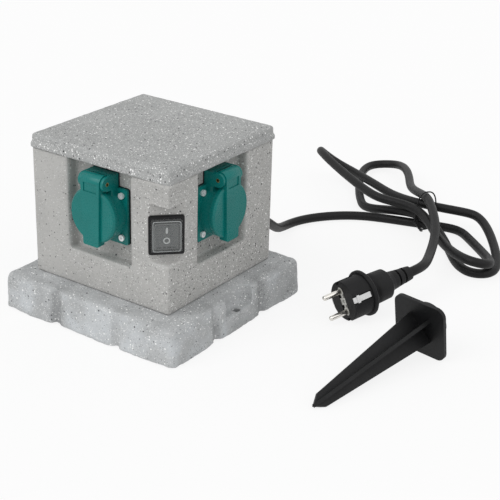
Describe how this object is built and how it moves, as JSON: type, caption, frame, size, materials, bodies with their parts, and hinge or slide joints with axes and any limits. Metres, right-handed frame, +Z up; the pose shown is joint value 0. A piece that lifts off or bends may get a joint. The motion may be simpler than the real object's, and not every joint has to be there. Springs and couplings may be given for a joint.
{
  "type": "garden socket block",
  "caption": "Stone-look garden socket block with hinged flaps, a rocker switch on one corner, a coiled rubber lead with its plug, and a ground spike.",
  "frame": {"origin": "centre of the block's underside, at the mouth of the spike socket", "axes": "+Z up; -Y is the face on the left of the picture, +X the face on its right, and the cord leaves the +Y face"},
  "size_m": [0.3666, 0.5314, 0.165],
  "materials": {
    "slab_stone": "speckled stone look, rough",
    "wall_stone": "speckled stone look, rough",
    "roof_stone": "speckled stone look, rough",
    "green_plastic": "satin",
    "black_plastic": "satin",
    "spike_plastic": "satin",
    "black_rubber": "matte",
    "clear_boot": "clear",
    "grey_plastic": "matte",
    "steel": "bright",
    "nickel": "polished",
    "brass": "bright"
  },
  "bodies": {
    "block": {"base_slab": "slab_stone", "base_plate": "black_plastic", "plate_screws": "steel", "body_shell": "wall_stone", "roof_cap": "roof_stone", "tie_screws": "steel", "socket_1_gasket": "black_rubber", "socket_1_housing": "green_plastic", "socket_1_hinge_pin": "brass", "socket_1_spring": "steel", "socket_1_contacts": "brass", "socket_1_earth_clip": "steel", "socket_1_screws": "steel", "socket_2_gasket": "black_rubber", "socket_2_housing": "green_plastic", "socket_2_hinge_pin": "brass", "socket_2_spring": "steel", "socket_2_contacts": "brass", "socket_2_earth_clip": "steel", "socket_2_screws": "steel", "socket_3_gasket": "black_rubber", "socket_3_housing": "green_plastic", "socket_3_hinge_pin": "brass", "socket_3_spring": "steel", "socket_3_contacts": "brass", "socket_3_earth_clip": "steel", "socket_3_screws": "steel", "socket_4_gasket": "black_rubber", "socket_4_housing": "green_plastic", "socket_4_hinge_pin": "brass", "socket_4_spring": "steel", "socket_4_contacts": "brass", "socket_4_earth_clip": "steel", "socket_4_screws": "steel", "switch_frame": "black_plastic", "switch_boot": "clear_boot", "switch_terminals": "brass", "gland_body": "black_plastic", "gland_cap": "black_plastic", "gland_seal": "black_rubber", "gland_locknut": "black_plastic", "terminal_block": "grey_plastic", "cord_lead": "black_rubber", "cord_hank": "black_rubber", "cord_tail": "black_rubber", "cord_tie": "black_plastic", "plug_body": "black_rubber", "plug_insert": "grey_plastic", "plug_pins": "nickel", "plug_earth_strips": "steel"},
    "flap_1": {"socket_1_flap": "green_plastic"},
    "flap_2": {"socket_2_flap": "green_plastic"},
    "flap_3": {"socket_3_flap": "green_plastic"},
    "flap_4": {"socket_4_flap": "green_plastic"},
    "rocker": {"switch_rocker": "black_plastic"},
    "spike": {"ground_spike": "spike_plastic"}
  },
  "joints": [
    {"name": "flap_1_hinge", "type": "hinge", "parent": "block", "child": "flap_1", "pos_m": [0, -0.0786, 0.1389], "axis": [-1, 0, 0], "range_deg": [0, 120], "stiffness_Nm_per_rad": 0.01, "springref_deg": -17.19},
    {"name": "flap_2_hinge", "type": "hinge", "parent": "block", "child": "flap_2", "pos_m": [0.0786, 0, 0.1389], "axis": [0, -1, 0], "range_deg": [0, 120], "stiffness_Nm_per_rad": 0.01, "springref_deg": -17.19},
    {"name": "flap_3_hinge", "type": "hinge", "parent": "block", "child": "flap_3", "pos_m": [0, 0.0786, 0.1389], "axis": [1, 0, 0], "range_deg": [0, 120], "stiffness_Nm_per_rad": 0.01, "springref_deg": -17.19},
    {"name": "flap_4_hinge", "type": "hinge", "parent": "block", "child": "flap_4", "pos_m": [-0.0786, 0, 0.1389], "axis": [0, 1, 0], "range_deg": [0, 120], "stiffness_Nm_per_rad": 0.01, "springref_deg": -17.19},
    {"name": "rocker_tip", "type": "hinge", "parent": "block", "child": "rocker", "pos_m": [0.06185, -0.06185, 0.1031], "axis": [-0.7071, -0.7071, 0], "range_deg": [0, 16]},
    {"name": "spike_lift", "type": "slide", "parent": "block", "child": "spike", "axis": [0, 0, 1], "range_m": [0, 0.2]}
  ]
}
